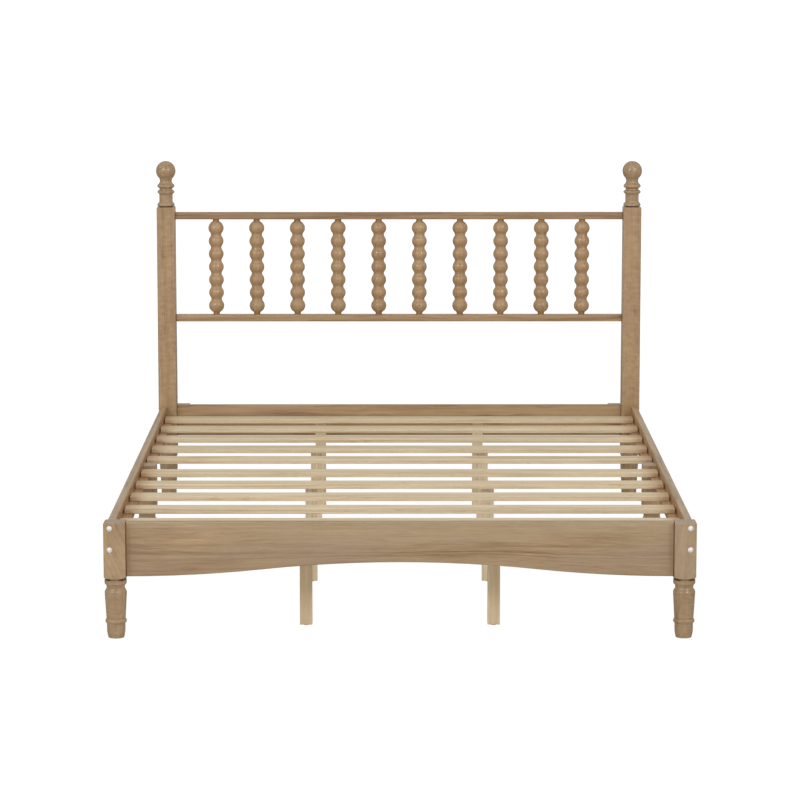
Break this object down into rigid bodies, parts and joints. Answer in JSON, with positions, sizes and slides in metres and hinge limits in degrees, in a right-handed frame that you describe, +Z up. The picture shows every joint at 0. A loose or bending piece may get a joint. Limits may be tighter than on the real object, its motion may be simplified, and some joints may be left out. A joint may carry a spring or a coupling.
{
  "type": "platform bed",
  "caption": "Wooden platform bed with a beaded-spindle headboard between ball-topped posts, an arched foot rail, side rails, a slatted deck and turned legs.",
  "frame": {"origin": "on the floor at the middle of the bed's footprint", "axes": "+X to the right as seen from the foot, +Y from the foot to the head, +Z up"},
  "size_m": [1.613, 2.1714, 1.1379],
  "materials": {
    "stained_oak": "satin clear coat over warm tan stained oak",
    "slat_pine": "planed pale pine, unstained",
    "dowel_beech": "plain beech",
    "zinc_steel": "bright zinc plate",
    "glide_plastic": "matte brown"
  },
  "bodies": {
    "root": {"barrel_nuts": "zinc_steel", "dowels": "dowel_beech", "foot_leg_left": "stained_oak", "foot_leg_right": "stained_oak", "foot_post_left": "stained_oak", "foot_post_right": "stained_oak", "foot_rail": "stained_oak", "head_corner_blocks": "stained_oak", "head_finial_left": "stained_oak", "head_finial_right": "stained_oak", "head_leg_left": "stained_oak", "head_leg_right": "stained_oak", "head_post_left": "stained_oak", "head_post_right": "stained_oak", "head_rail": "stained_oak", "ledger_and_block_screws": "zinc_steel", "lower_spindle_rail": "stained_oak", "mid_leg_left": "stained_oak", "mid_leg_right": "stained_oak", "mid_post_bolts": "zinc_steel", "mid_post_left": "stained_oak", "mid_post_right": "stained_oak", "side_rail_bolts": "zinc_steel", "side_rail_left": "stained_oak", "side_rail_right": "stained_oak", "slat_01": "slat_pine", "slat_02": "slat_pine", "slat_03": "slat_pine", "slat_04": "slat_pine", "slat_05": "slat_pine", "slat_06": "slat_pine", "slat_07": "slat_pine", "slat_08": "slat_pine", "slat_09": "slat_pine", "slat_10": "slat_pine", "slat_ledger_foot_left": "stained_oak", "slat_ledger_foot_right": "stained_oak", "slat_ledger_head_left": "stained_oak", "slat_ledger_head_right": "stained_oak", "slat_screws": "zinc_steel", "spindle_01": "stained_oak", "spindle_02": "stained_oak", "spindle_03": "stained_oak", "spindle_04": "stained_oak", "spindle_05": "stained_oak", "spindle_06": "stained_oak", "spindle_07": "stained_oak", "spindle_08": "stained_oak", "spindle_09": "stained_oak", "spindle_10": "stained_oak", "support_leg_glides": "glide_plastic", "support_leg_slat_01_left": "slat_pine", "support_leg_slat_01_right": "slat_pine", "support_leg_slat_04_left": "slat_pine", "support_leg_slat_04_right": "slat_pine", "support_leg_slat_07_left": "slat_pine", "support_leg_slat_07_right": "slat_pine", "support_leg_slat_10_left": "slat_pine", "support_leg_slat_10_right": "slat_pine", "top_spindle_rail": "stained_oak"}
  },
  "joints": []
}
